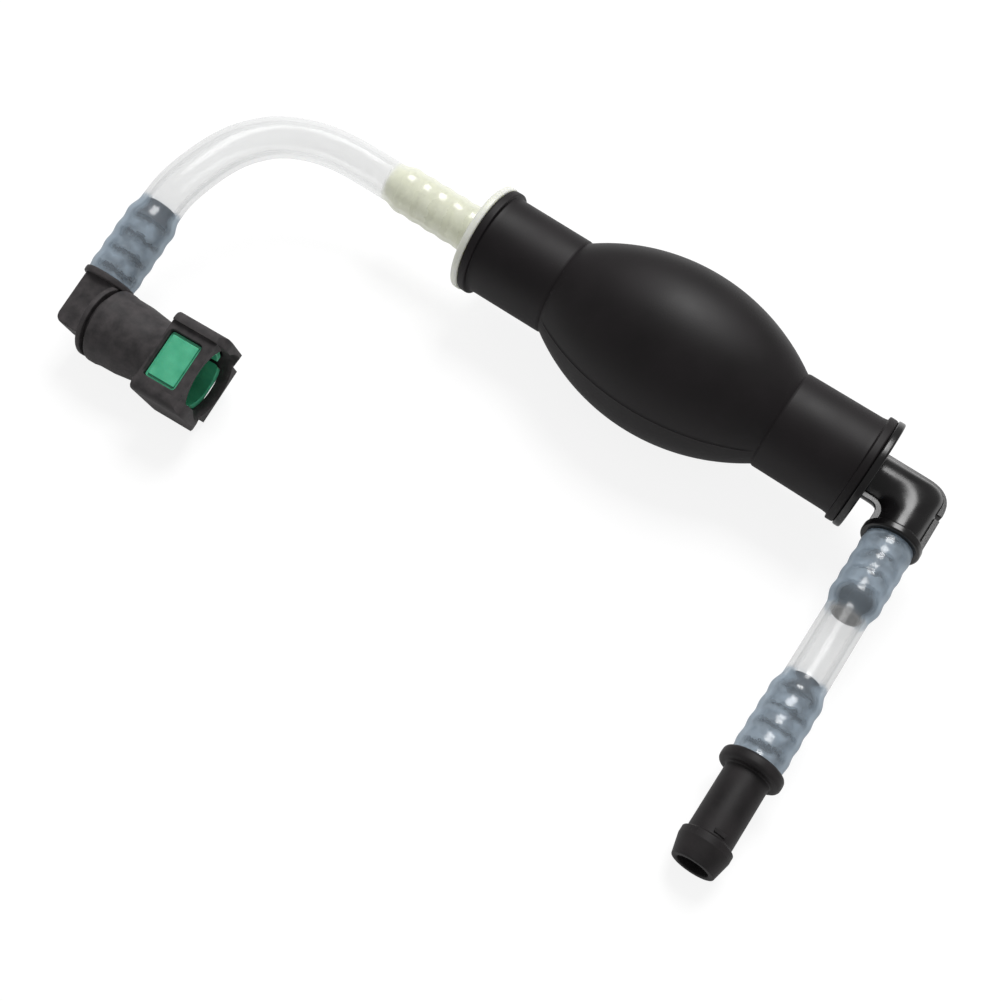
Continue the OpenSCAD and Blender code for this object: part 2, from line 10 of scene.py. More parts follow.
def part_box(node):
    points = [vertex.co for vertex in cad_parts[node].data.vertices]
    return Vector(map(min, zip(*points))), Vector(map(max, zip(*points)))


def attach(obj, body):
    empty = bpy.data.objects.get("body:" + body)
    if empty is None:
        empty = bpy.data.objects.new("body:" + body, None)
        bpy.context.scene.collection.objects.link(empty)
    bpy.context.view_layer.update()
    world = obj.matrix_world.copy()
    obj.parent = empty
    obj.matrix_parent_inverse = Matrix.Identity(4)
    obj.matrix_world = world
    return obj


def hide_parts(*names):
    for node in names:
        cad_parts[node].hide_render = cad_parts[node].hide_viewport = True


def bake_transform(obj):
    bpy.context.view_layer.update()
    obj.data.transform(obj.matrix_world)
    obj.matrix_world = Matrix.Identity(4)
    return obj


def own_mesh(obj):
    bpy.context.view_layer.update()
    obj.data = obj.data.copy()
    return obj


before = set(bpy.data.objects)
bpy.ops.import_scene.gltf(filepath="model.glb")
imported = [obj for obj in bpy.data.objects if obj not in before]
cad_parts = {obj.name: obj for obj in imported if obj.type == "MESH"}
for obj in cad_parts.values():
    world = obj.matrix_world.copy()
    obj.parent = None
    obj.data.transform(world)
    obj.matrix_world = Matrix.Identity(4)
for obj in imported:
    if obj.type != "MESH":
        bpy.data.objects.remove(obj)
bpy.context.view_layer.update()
MM = 0.001

# ---- Camera ----
# Looks down on the pump from above its outlet side, turned so that the bulb runs down to the right.

eye = Vector((43.66, -205.87, 226.33)) * MM
right = Vector((0.81956, 0.54877, 0.16483))
down = Vector((0.54086, -0.64594, -0.53873))
camera = bpy.data.objects.new("camera", bpy.data.cameras.new("camera"))
bpy.context.collection.objects.link(camera)
camera_axes = Matrix((right, -down, -right.cross(down))).transposed()
camera.matrix_world = Matrix.Translation(eye) @ camera_axes.to_4x4()
camera.data.lens = 46.75
camera.data.clip_start, camera.data.clip_end = 0.01, 30
bpy.context.scene.camera = camera
bpy.context.scene.view_settings.view_transform = "Standard"

# ---- Card, room and lamps ----
# The pump lies on a white card under one softbox, which hangs above it and a little behind, in a dim
# room. The card looks white by itself, and a little of the pump's shadow stays on it.


def linear(code):
    """Linear colour of an sRGB hex code."""
    parts = [int(code[k:k + 2], 16) / 255 for k in (1, 3, 5)]
    return [c / 12.92 if c <= 0.04045 else ((c + 0.055) / 1.055) ** 2.4 for c in parts] + [1]


def add_node(tree, kind, inputs=None, **settings):
    """A node with its settings, whose inputs take a value or another node's output."""
    node = tree.nodes.new(kind)
    for name, value in settings.items():
        setattr(node, name, value)
    for name, value in (inputs or {}).items():
        if isinstance(value, bpy.types.NodeSocket):
            tree.links.new(value, node.inputs[name])
        else:
            node.inputs[name].default_value = value
    return node


def empty_material(name):
    """A material with nothing in it but its output node."""
    made = bpy.data.materials.new(name)
    made.use_nodes = True
    made.node_tree.nodes.clear()
    return made, made.node_tree, add_node(made.node_tree, "ShaderNodeOutputMaterial")


card_white, tree, output = empty_material("matt_white_card")
rays = add_node(tree, "ShaderNodeLightPath")
share = add_node(tree, "ShaderNodeMath", {0: rays.outputs["Is Camera Ray"], 1: 0.8},
                 operation="MULTIPLY")
for ray, part in (("Is Transmission Ray", 0.8), ("Is Glossy Ray", 0.25)):
    share = add_node(tree, "ShaderNodeMath", {0: rays.outputs[ray], 1: part, 2: share.outputs[0]},
                     operation="MULTIPLY_ADD")
matt = add_node(tree, "ShaderNodeBsdfDiffuse", {"Color": linear("#F2F2F2")})
glow = add_node(tree, "ShaderNodeEmission", {"Color": (1, 1, 1, 1), "Strength": 1.08})
mix = add_node(tree, "ShaderNodeMixShader",
               {0: share.outputs[0], 1: matt.outputs[0], 2: glow.outputs[0]})
tree.links.new(mix.outputs[0], output.inputs["Surface"])

card_half, card_gap = 6, 0.5 * MM
lowest = min(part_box(node)[0].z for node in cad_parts)
card_mesh = bmesh.new()
bmesh.ops.create_grid(card_mesh, x_segments=1, y_segments=1, size=card_half)
bmesh.ops.translate(card_mesh, verts=card_mesh.verts, vec=(0, 0, lowest - card_gap))
card_data = bpy.data.meshes.new("card")
card_mesh.to_mesh(card_data)
card_mesh.free()
card_data.materials.append(card_white)
card = bpy.data.objects.new("card", card_data)
bpy.context.collection.objects.link(card)

room = bpy.data.worlds.new("room")
bpy.context.scene.world = room
room.use_nodes = True
tree = room.node_tree
tree.nodes.clear()
rays = add_node(tree, "ShaderNodeLightPath")
seen = add_node(tree, "ShaderNodeMath", {0: rays.outputs["Is Camera Ray"],
                                         1: rays.outputs["Is Transmission Ray"]}, operation="MAXIMUM")
dim = add_node(tree, "ShaderNodeBackground", {"Color": (1, 1, 1, 1), "Strength": 0.32})
white = add_node(tree, "ShaderNodeBackground", {"Color": (1, 1, 1, 1), "Strength": 1.0})
mix = add_node(tree, "ShaderNodeMixShader", {0: seen.outputs[0], 1: dim.outputs[0], 2: white.outputs[0]})
add_node(tree, "ShaderNodeOutputWorld", {"Surface": mix.outputs[0]})

lamp = bpy.data.objects.new("softbox", bpy.data.lights.new("softbox", "AREA"))
bpy.context.collection.objects.link(lamp)
lamp.data.size, lamp.data.energy = 0.42, 7.0
toward, lamp_away = Vector((-0.1, 0.38, 0.92)).normalized(), 0.9
lamp.matrix_world = (Matrix.Translation(toward * lamp_away)
                     @ toward.to_track_quat("Z", "Y").to_matrix().to_4x4())

# ---- Hoses ----
# Two short runs of clear polyurethane fuel hose, pushed over barbed tails with no clips. The wall is
# milky: pale over nothing, and slate blue over a black tail, where the barbs show as darker rings.

hose_r, hose_wall, hose_stretch, hose_sag, hose_sides = 4.95, 1.0, 0.95, 0.24, 48
barb_pitch, barb_r, tail_r, tip_r, bore_r = 4.6, 4.8, 4.0, 3.5, 2.8
inlet_tail, elbow_tail, stub_tail = 27, 20.6, 21.6
flange_x, corner_x, arm_end, stub_at = 54, 65, 13, 73
inlet_route = [
    (0, 0, 0), (-4, 0, 0), (-8, 0, 0), (-12, 0, 0), (-16, 0, 0), (-20, 0, 0), (-24, 0, 0),
    (-28, 0, 0), (-33.5, -0.5, 0.5), (-39.5, -2, 2), (-45, -4.5, 3.5), (-49.5, -8.5, 5),
    (-53, -13, 6.3), (-55.5, -18.5, 7), (-57.2, -24, 7.3), (-58.2, -30, 7), (-58.7, -35.5, 6.4),
    (-59, -40, 5.7), (-59.1, -43.6, 4.7), (-58.9, -47.2, 3.2), (-58.6, -50.9, 1.5),
    (-58.4, -54.5, -0.1), (-58.1, -58.1, -1.7), (-57.9, -61.8, -3.4), (-57.6, -65.4, -5),
]
inlet_route = [Vector(point) - Vector((flange_x, 0, 0)) for point in inlet_route]
# The outlet arm's own frame: +X down the arm, +Y along the bulb, +Z square to the elbow.
outlet_arm = (Matrix.Translation((corner_x, 0, 0)) @ Matrix.Rotation(math.radians(9.5), 4, "X")
              @ Matrix.Rotation(math.radians(-90), 4, "Z"))
outlet_steps = 15
outlet_route = [outlet_arm @ Vector((arm_end + (stub_at - arm_end) * k / outlet_steps, 0, 0))
                for k in range(outlet_steps + 1)]


def smooth_run(points, steps):
    """Smooth curve that a list of points steers, with a number of steps to each point."""
    points = [2 * points[0] - points[1], *points, 2 * points[-1] - points[-2]]
    run = []
    for a, b, c, d in zip(points, points[1:], points[2:], points[3:]):
        for t in (k / steps for k in range(steps)):
            run.append(((1 - t) ** 3 * a + (3 * t ** 3 - 6 * t ** 2 + 4) * b
                        + (-3 * t ** 3 + 3 * t ** 2 + 3 * t + 1) * c + t ** 3 * d) / 6)
    return run + [points[-2]]


def walk(run):
    """How far each point of a run lies from its start, along it."""
    walked = [0]
    for a, b in zip(run, run[1:]):
        walked.append(walked[-1] + (b - a).length)
    return walked


def places_along(run):
    """A place at each point of a run, which looks down the run along its own Z and doesn't twist."""
    turn = (run[1] - run[0]).to_track_quat("Z", "Y")
    places = []
    for k, point in enumerate(run):
        ahead = run[min(k + 1, len(run) - 1)] - run[max(k - 1, 0)]
        turn = (turn @ Vector((0, 0, 1))).rotation_difference(ahead) @ turn
        places.append(Matrix.Translation(point) @ turn.to_matrix().to_4x4())
    return places


def add_skin(mesh, sections, sides, closed=True):
    """Skin over a run of round sections, each a place and a radius. Gives back each section's points."""
    rings = [bmesh.ops.create_circle(mesh, segments=sides, radius=radius, matrix=place)["verts"]
             for place, radius in sections]
    for ring, following in zip(rings, rings[1:] + (rings[:1] if closed else [])):
        for k in range(sides):
            mesh.faces.new((ring[k - 1], ring[k], following[k], following[k - 1]))
    return rings


round_only = 60


def add_piece(name, mesh, material, body, slot, *stands_for, sharp=35):
    """Finished piece in place of its solids, smooth except where its surface turns by an angle. One
    that is round all over has no flat faces to shade flat."""
    bmesh.ops.remove_doubles(mesh, verts=mesh.verts, dist=0.0005)
    bmesh.ops.recalc_face_normals(mesh, faces=mesh.faces)
    bmesh.ops.scale(mesh, verts=mesh.verts, vec=(MM, MM, MM))
    data = bpy.data.meshes.new(name)
    mesh.to_mesh(data)
    mesh.free()
    data.shade_smooth()
    data.set_sharp_from_angle(angle=math.radians(sharp))
    data.materials.append(material)
    piece = bpy.data.objects.new(name, data)
    bpy.context.collection.objects.link(piece)
    if sharp < round_only:
        flats = piece.modifiers.new("flat faces shade flat", "WEIGHTED_NORMAL")
        flats.keep_sharp = True
    if body:
        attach(piece, body)
    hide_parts(*stands_for)
    return piece


def hose_radius(past_tip):
    """Hose radius by how far a point lies past a tail's tip: the hose climbs the last barb, then rides
    over each shoulder and sags a little between them."""
    rise = min(max((past_tip - 0.8) / (barb_pitch - 0.8), 0), 1)
    sag = hose_sag * math.sin(math.pi * past_tip / barb_pitch) ** 2 if past_tip > barb_pitch else 0
    return hose_r + hose_stretch * rise * rise * (3 - 2 * rise) - sag


def add_hose(name, node, route, first_tail, last_tail, first_is_black):
    """Hollow hose along a route. Its wall keeps how far it lies past the nearest tail's tip, and
    whether that tail is black."""
    run = smooth_run(route, 8)
    walked = walk(run)
    past = [max(first_tail - s, last_tail - (walked[-1] - s)) for s in walked]
    places = places_along(run)
    outside = [(place, hose_radius(p)) for place, p in zip(places, past)]
    inside = [(place, hose_radius(p) - hose_wall) for place, p in zip(places, past)]
    mesh = bmesh.new()
    past_tip = mesh.verts.layers.float.new("past_tip")
    over_black = mesh.verts.layers.float.new("over_black")
    black = [1.0 if first_is_black or s > walked[-1] / 2 else 0.0 for s in walked]
    rings = add_skin(mesh, outside + inside[::-1], hose_sides)
    for ring, distance, shade in zip(rings, past + past[::-1], black + black[::-1]):
        for vert in ring:
            vert[past_tip], vert[over_black] = distance, shade
    return add_piece(name, mesh, clear_hose, "pump", "clear_hose", node, sharp=round_only)


# Clear polyurethane, extruded: a wet gloss skin over a milky wall that glows with light from behind.
# Over a black tail it looks slate blue, and darker in a ragged ring where it sits on each barb.
clear_hose, tree, output = empty_material("clear_polyurethane_extruded")
where = add_node(tree, "ShaderNodeTexCoord").outputs["Object"]
past = add_node(tree, "ShaderNodeAttribute", attribute_name="past_tip").outputs["Fac"]
black = add_node(tree, "ShaderNodeAttribute", attribute_name="over_black").outputs["Fac"]
ragged = add_node(tree, "ShaderNodeTexNoise",
                  {"Vector": where, "Scale": 1 / (2.4 * MM), "Detail": 3.0}).outputs["Fac"]
shifted = add_node(tree, "ShaderNodeMath", {0: ragged, 1: 3.6, 2: -1.8}, operation="MULTIPLY_ADD")
shifted = add_node(tree, "ShaderNodeMath", {0: past, 1: shifted.outputs[0]}, operation="ADD")
turns = add_node(tree, "ShaderNodeMath", {0: shifted.outputs[0], 1: barb_pitch}, operation="DIVIDE")
ring = add_node(tree, "ShaderNodeMath", {0: turns.outputs[0]}, operation="FRACT")
seat = add_node(tree, "ShaderNodeValToRGB", {"Fac": ring.outputs[0]})
for stop, (place, value) in enumerate(((0.0, 0.25), (0.2, 0.15), (0.45, 1.0), (0.85, 0.75))):
    part = seat.color_ramp.elements[stop] if stop < 2 else seat.color_ramp.elements.new(place)
    part.position = place
    part.color = (value, value, value, 1)
on_tip = add_node(tree, "ShaderNodeMapRange", {"Value": shifted.outputs[0], "From Min": barb_pitch - 0.5,
                                               "From Max": barb_pitch + 0.7})
banded = add_node(tree, "ShaderNodeMath", {0: seat.outputs["Color"], 1: on_tip.outputs[0]},
                  operation="MULTIPLY")
blotches = add_node(tree, "ShaderNodeTexNoise", {"Vector": where, "Scale": 1 / (3.2 * MM), "Detail": 1.5})
blotch = add_node(tree, "ShaderNodeMapRange", {"Value": blotches.outputs["Fac"], "From Min": 0.38,
                                               "From Max": 0.62, "To Min": 0.4})
banded = add_node(tree, "ShaderNodeMath", {0: banded.outputs[0], 1: blotch.outputs[0]},
                  operation="MULTIPLY")
film = add_node(tree, "ShaderNodeMapRange", {"Value": banded.outputs[0], "To Min": 0.16,
                                             "To Max": 0.72})
film = add_node(tree, "ShaderNodeMath", {0: black, 1: -0.4, 2: film.outputs[0]},
                operation="MULTIPLY_ADD")
film = add_node(tree, "ShaderNodeMath", {0: film.outputs[0], 1: 0.4}, operation="ADD")
gripping = add_node(tree, "ShaderNodeMapRange", {"Value": past, "From Min": -0.5, "From Max": 0.5})
edge_on = add_node(tree, "ShaderNodeLayerWeight", {"Blend": 0.5}).outputs["Facing"]
rim = add_node(tree, "ShaderNodeMapRange", {"Value": edge_on, "From Min": 0.28, "From Max": 0.5})
bare = add_node(tree, "ShaderNodeMapRange", {"Value": rim.outputs[0], "To Min": 0.16, "To Max": 0.34})
on_tail = add_node(tree, "ShaderNodeMapRange", {"Value": rim.outputs[0], "To Max": 0.66})
tree.links.new(film.outputs[0], on_tail.inputs["To Min"])
cover = add_node(tree, "ShaderNodeMix", {"Factor": gripping.outputs[0], "A": bare.outputs[0],
                                         "B": on_tail.outputs[0]}, data_type="FLOAT")
over_tail = add_node(tree, "ShaderNodeMix", {"Factor": black}, data_type="RGBA")
over_tail.inputs[6].default_value = linear("#F6F7EC")
over_tail.inputs[7].default_value = linear("#CCDAE6")
tint = add_node(tree, "ShaderNodeMix", {"Factor": gripping.outputs[0], 7: over_tail.outputs[2]},
                data_type="RGBA")
tint.inputs[6].default_value = linear("#F0F1F1")
skin = add_node(tree, "ShaderNodeBump", {"Height": ragged, "Strength": 1.0, "Distance": 0.16 * MM})
wall = add_node(tree, "ShaderNodeBsdfPrincipled",
                {"Base Color": tint.outputs[2], "Roughness": 0.5, "Specular IOR Level": 0.0,
                 "Normal": skin.outputs[0]})
lit_through = add_node(tree, "ShaderNodeBsdfTranslucent", {"Color": tint.outputs[2]})
milk = add_node(tree, "ShaderNodeMixShader", {0: 0.45, 1: wall.outputs[0], 2: lit_through.outputs[0]})
# The wall bends light, so that a black tail seems to fill the hose from side to side.
at_side = add_node(tree, "ShaderNodeMath", {0: rim.outputs[0], 1: gripping.outputs[0]},
                   operation="MULTIPLY")
at_side = add_node(tree, "ShaderNodeMath", {0: at_side.outputs[0], 1: black}, operation="MULTIPLY")
seen_in = add_node(tree, "ShaderNodeMix", {"Factor": at_side.outputs[0]}, data_type="RGBA")
seen_in.inputs[6].default_value = (1, 1, 1, 1)
seen_in.inputs[7].default_value = linear("#CBD3DA")
clear = add_node(tree, "ShaderNodeBsdfTransparent", {"Color": seen_in.outputs[2]})
body = add_node(tree, "ShaderNodeMixShader", {0: cover.outputs[0], 1: clear.outputs[0],
                                              2: milk.outputs[0]})
gloss = add_node(tree, "ShaderNodeBsdfGlossy", {"Roughness": 0.16, "Normal": skin.outputs[0]})
inside = add_node(tree, "ShaderNodeNewGeometry").outputs["Backfacing"]
steep = add_node(tree, "ShaderNodeMath", {0: edge_on, 1: 5.0}, operation="POWER")
sheen = add_node(tree, "ShaderNodeMapRange", {"Value": gripping.outputs[0], "To Min": 0.016,
                                              "To Max": 0.045})
coat = add_node(tree, "ShaderNodeMath", {0: steep.outputs[0], 1: 0.25, 2: sheen.outputs[0]},
                operation="MULTIPLY_ADD")
outside = add_node(tree, "ShaderNodeMath", {0: 1.0, 1: inside}, operation="SUBTRACT")
coat = add_node(tree, "ShaderNodeMath", {0: coat.outputs[0], 1: outside.outputs[0]},
                operation="MULTIPLY")
surface = add_node(tree, "ShaderNodeMixShader", {0: coat.outputs[0], 1: body.outputs[0],
                                                 2: gloss.outputs[0]})
tree.links.new(surface.outputs[0], output.inputs["Surface"])

inlet_hose = add_hose("hose_on_inlet", "inlet_hose", inlet_route, inlet_tail, elbow_tail, False)
outlet_hose = add_hose("hose_on_outlet", "outlet_hose", outlet_route, elbow_tail, stub_tail, True)

# ---- Inlet valve body ----
# One moulding in natural nylon: a plug inside the bulb's neck, a thin flange against its rim, and a
# barbed tail in the hose. Three ribs on the plug bite into the rubber, and the tail is bored through.


def moulded(name, tones, patch, grain, depth, gloss, **finish):
    """Moulded plastic or rubber. Two tones drift into each other in patches of a size, under a grain
    of a size and a depth, all in mm, and its roughness follows the patches between two values."""
    made, tree, output = empty_material(name)
    where = add_node(tree, "ShaderNodeTexCoord").outputs["Object"]
    patches = add_node(tree, "ShaderNodeTexNoise",
                       {"Vector": where, "Scale": 1 / (patch * MM), "Detail": 4.0})
    drift = add_node(tree, "ShaderNodeMapRange", {"Value": patches.outputs["Fac"], "From Min": 0.3,
                                                  "From Max": 0.7})
    shade = add_node(tree, "ShaderNodeMix", {"Factor": drift.outputs[0]}, data_type="RGBA")
    shade.inputs[6].default_value, shade.inputs[7].default_value = map(linear, tones)
    grains = add_node(tree, "ShaderNodeTexNoise",
                      {"Vector": where, "Scale": 1 / (grain * MM), "Detail": 2.0})
    skin = add_node(tree, "ShaderNodeBump", {"Height": grains.outputs["Fac"], "Strength": 1.0,
                                             "Distance": depth * MM})
    dull = add_node(tree, "ShaderNodeMapRange", {"Value": drift.outputs[0], "To Min": gloss[0],
                                                 "To Max": gloss[1]})
    surface = add_node(tree, "ShaderNodeBsdfPrincipled",
                       {"Base Color": shade.outputs[2], "Roughness": dull.outputs[0],
                        "Normal": skin.outputs[0], **finish})
    tree.links.new(surface.outputs[0], output.inputs["Surface"])
    return made


def rounded(corners):
    """Outline with each corner (along, out, fillet) turned by its fillet in short steps."""
    outline = []
    for before, here, after in zip(corners[-1:] + corners[:-1], corners, corners[1:] + corners[:1]):
        point = Vector(here[:2])
        back, ahead = Vector(before[:2]) - point, Vector(after[:2]) - point
        if not here[2]:
            outline.append(point)
            continue
        reach = here[2] / math.tan(back.angle(ahead) / 2)
        start, end = point + back.normalized() * reach, point + ahead.normalized() * reach
        steps = 4 if here[2] < 2 else 12
        outline += [start.lerp(point, k / steps).lerp(point.lerp(end, k / steps), k / steps)
                    for k in range(steps + 1)]
    return outline


def turned(outline, place=Matrix(), ring=True, steps=96):
    """Round solid: an outline of points (along, out), spun about the place's X axis. One that isn't a
    ring starts and ends on that axis."""
    mesh = bmesh.new()
    verts = [mesh.verts.new(place @ Vector((along, 0, out))) for along, out in outline]
    edges = [mesh.edges.new(pair) for pair in zip(verts, verts[1:] + (verts[:1] if ring else []))]
    bmesh.ops.spin(mesh, geom=verts + edges, cent=place.translation,
                   axis=place.to_3x3() @ Vector((1, 0, 0)), angle=math.tau, steps=steps, use_merge=True)
    bmesh.ops.remove_doubles(mesh, verts=mesh.verts, dist=0.0005)
    bmesh.ops.recalc_face_normals(mesh, faces=mesh.faces)
    return mesh


def barbed_corners(root, length):
    """Corners of a hose tail's outside, from its plain root to its tip."""
    corners = []
    for barbs_left in (4, 3, 2, 1):
        shoulder = root + length - barbs_left * barb_pitch
        corners += [(shoulder, tail_r, 0.1), (shoulder, barb_r, 0.12)]
    return corners + [(root + length, tip_r, 0.2)]


# Natural nylon, moulded: a waxy off-white, a little green, that lets light through its edges.
natural_nylon = moulded("natural_nylon_moulded", ("#E6E8D8", "#F4F5EA"), 7, 0.5, 0.008, (0.34, 0.44),
                        **{"Subsurface Weight": 0.6, "Subsurface Radius": (1.0, 1.0, 0.85),
                           "Subsurface Scale": 3 * MM})

rim_end, flange_r, plug_r, plug_len = 52.2, 13.7, 10.15, 21
chamber_r, inlet_chamber, rib_bite, rib_pitch, rib_len = 7.55, 15, 0.3, 5, 1.2
plug_end = rim_end - plug_len


def plug_corners():
    """Corners of a plug's outside, from the flange's inner face to the plug's inner end."""
    corners = []
    for k in (1, 2, 3):
        crest = rim_end - k * rib_pitch + rib_len
        corners += [(crest, plug_r, 0), (crest, plug_r + rib_bite, 0.1), (crest - rib_len, plug_r, 0)]
    return corners + [(plug_end, plug_r, 0.4)]


# The inlet's own frame, with +X down its tail.
inlet_end = Matrix.Rotation(math.pi, 4, "Z")
tail_end = flange_x + inlet_tail
add_piece("inlet_moulding", turned(rounded(
    [(plug_end, chamber_r, 0.3)] + plug_corners()[::-1]
    + [(rim_end, plug_r, 0.2), (rim_end, flange_r, 0.5), (flange_x, flange_r, 0.6),
       (flange_x, tail_r, 0.8)]
    + barbed_corners(flange_x, inlet_tail)
    + [(tail_end, bore_r, 0.2), (plug_end + inlet_chamber, bore_r, 0.2),
       (plug_end + inlet_chamber, chamber_r, 0.3)]), inlet_end), natural_nylon, "pump",
          "natural_nylon", "inlet_valve_body")

# ---- Bulb ----
# Black nitrile rubber, moulded in two halves: a hollow belly, two necks stretched over the plugs, and
# a bead round each rim. A crease parts belly from neck, and the mould's joint leaves a fine line.

belly_r, crease_x, belly_arc, belly_wall, belly_steps = 21, 29, 53.2, 2.8, 56
neck_r, neck_bore, rim_r, rim_t, crease_depth = 12.4, 10.2, 13.5, 2.2, 0.45


def belly_at(x, inset=0):
    """Radius of the belly, or of a skin inside it, at x along the bulb."""
    return math.sqrt((belly_arc - inset) ** 2 - x * x) + belly_r - belly_arc


def belly_curve(half, inset):
    """Outline of the belly, or of its inside, from the outlet's end back to the inlet's."""
    return [(x, belly_at(x, inset))
            for x in (half * (1 - 2 * k / belly_steps) for k in range(belly_steps + 1))]


def neck_corners(side):
    """Corners of one neck's outside, from the crease to the rim's end face."""
    rim = rim_end - rim_t
    return [(side * (crease_x + 0.1), neck_r - crease_depth, 0.15),
            (side * (crease_x + 1.1), neck_r - 0.1, 0.5), (side * (rim - 1.2), neck_r, 0),
            (side * rim, neck_r + 0.15, 0.3), (side * (rim + 0.1), rim_r, 0.4),
            (side * rim_end, rim_r - 0.05, 0.6), (side * rim_end, neck_bore, 0.2)]


inner_half = math.sqrt((belly_arc - belly_wall) ** 2 - (neck_bore + belly_arc - belly_r) ** 2)
bulb_mesh = turned(rounded(neck_corners(-1)[::-1]) + belly_curve(crease_x, 0)[::-1]
                   + rounded(neck_corners(1)) + belly_curve(inner_half, belly_wall), steps=144)
# The joint of the mould: a low ridge along the belly, on the level plane through its axis.
ridge_half, ridge_h = 0.35, 0.22
for level in (-ridge_half, ridge_half):
    bmesh.ops.bisect_plane(bulb_mesh, geom=bulb_mesh.verts[:] + bulb_mesh.edges[:] + bulb_mesh.faces[:],
                           dist=0.0001, plane_co=(0, 0, level), plane_no=(0, 0, 1))
for vert in bulb_mesh.verts:
    out = Vector((0, vert.co.y, vert.co.z))
    if (abs(vert.co.z) < 0.01 and abs(vert.co.x) < crease_x - 0.3
            and out.length > belly_at(vert.co.x, 0.5)):
        vert.co += out.normalized() * ridge_h

# Nitrile rubber, moulded: dull near-black, with a faint bloom in soft patches and a fine grain.
nitrile_rubber = moulded("nitrile_rubber_moulded", ("#131011", "#1D191B"), 14, 0.35, 0.012,
                         (0.48, 0.58), **{"Specular IOR Level": 0.26})

bulb = add_piece("rubber_bulb", bulb_mesh, nitrile_rubber, None, "bulb_rubber", "bulb", "bulb_crown")
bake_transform(bulb)

# ---- Outlet valve body and elbow ----
# One moulding in black acetal: plug and flange like the inlet's, then an arm that turns a right angle
# down to its collar and barbed tail. A thick rib runs outside the bend and a thin web inside it.

arm_r, collar_r, collar_t, outlet_chamber, guide_t, lift = 5.5, 7.0, 2.2, 13, 2.4, 2.0
stem_hole, guide_hole_r, guide_hole_at = 1.55, 1.3, 5.35
guide_x = plug_end + outlet_chamber
rib_r, rib_half, rib_turn, web_r, web_top, web_t = 6.6, 1.2, 6.7, 6.6, 1.6, 0.8
bend_from, bend_turn = 55.4, 3.2
along_arm, along_bulb, square = (outlet_arm.to_3x3().col[k].copy() for k in range(3))


def facing(at, outward, axis):
    """A place for a round section of the elbow, from its middle, its outward side and its axis."""
    return Matrix.Translation(at) @ Matrix((outward, square, axis)).transposed().to_4x4()


def on_plug(corners):
    """Sections along the bulb, from corners (x, radius, fillet)."""
    return [(facing((x, 0, 0), -along_arm, along_bulb), out) for x, out in rounded(corners)]


def on_arm(corners):
    """Sections down the outlet arm, from corners (distance from the bend, radius, fillet)."""
    return [(facing(outlet_arm @ Vector((x, 0, 0)), along_bulb, along_arm), out)
            for x, out in rounded(corners)]


def prism(outline, place, low, high, soften=0.0):
    """Upright solid on an outline in a place's XY plane, from low to high, with softened rims."""
    mesh = bmesh.new()
    foot = mesh.faces.new([mesh.verts.new(place @ Vector((x, y, low))) for x, y in outline])
    grown = bmesh.ops.extrude_face_region(mesh, geom=[foot])["geom"]
    bmesh.ops.translate(mesh, verts=[part for part in grown if isinstance(part, bmesh.types.BMVert)],
                        vec=place.to_3x3() @ Vector((0, 0, high - low)))
    bmesh.ops.recalc_face_normals(mesh, faces=mesh.faces)
    if soften:
        rims = dict.fromkeys(edge for face in mesh.faces if len(face.verts) == len(outline)
                             for edge in face.edges)
        bmesh.ops.bevel(mesh, geom=list(rims), offset=soften, segments=3, profile=0.5, affect="EDGES",
                        material=-1, clamp_overlap=True)
    return mesh


def fitted(mesh, *changes):
    """Solid with others joined to it, cut out of it or kept from it, each given as a way and a solid."""
    solids = []
    for solid in [mesh, *(change[1] for change in changes)]:
        bmesh.ops.remove_doubles(solid, verts=solid.verts, dist=0.0005)
        bmesh.ops.recalc_face_normals(solid, faces=solid.faces)
        data = bpy.data.meshes.new("block")
        solid.to_mesh(data)
        solid.free()
        solids.append(bpy.data.objects.new("block", data))
        bpy.context.collection.objects.link(solids[-1])
    for (way, _), tool in zip(changes, solids[1:]):
        change = solids[0].modifiers.new(way, "BOOLEAN")
        change.operation, change.solver, change.object = way, "EXACT", tool
    whole = bmesh.new()
    whole.from_object(solids[0], bpy.context.evaluated_depsgraph_get())
    for solid in solids:
        bpy.data.meshes.remove(solid.data)
    return whole


def rod(place, start, end, radius, steps=48):
    """Plain round rod along a place's X axis."""
    return turned([(start, 0), (start, radius), (end, radius), (end, 0)], place, ring=False,
                  steps=steps)


mitre = facing((corner_x, 0, 0), along_bulb - along_arm, (along_bulb + along_arm).normalized())
tail_tip = arm_end + elbow_tail
outside = on_plug([(plug_end, plug_r - 0.4, 0)] + plug_corners()[:-1][::-1]
                  + [(rim_end, plug_r, 0.2), (rim_end, flange_r, 0.5), (flange_x, flange_r, 0.5),
                     (flange_x, arm_r, 0.6), (bend_from, arm_r, 0)])
bend_at = len(outside)
outside += [(mitre, arm_r)]
outside += on_arm([(corner_x - bend_from, arm_r, 0), (arm_end - collar_t, arm_r, 0.4),
                   (arm_end - collar_t, collar_r, 0.6), (arm_end, collar_r, 0.6),
                   (arm_end, tail_r, 0.3)] + barbed_corners(arm_end, elbow_tail)
                  + [(tail_tip, bore_r, 0)])
inside = on_arm([(tail_tip - 0.5, bore_r, 0), (bore_r + 1, bore_r, 0)])
inside += [(mitre, bore_r)]
inside += on_plug([(corner_x - bore_r - 1, bore_r, 0), (guide_x + guide_t + lift, bore_r, 0),
                   (guide_x + guide_t + lift, chamber_r - 0.5, 0),
                   (guide_x + guide_t, chamber_r - 0.5, 0), (guide_x + guide_t, stem_hole, 0),
                   (guide_x, stem_hole, 0), (guide_x, chamber_r, 0), (plug_end, chamber_r, 0)])
elbow_mesh = bmesh.new()
bend = set(add_skin(elbow_mesh, outside + inside, 96)[bend_at])
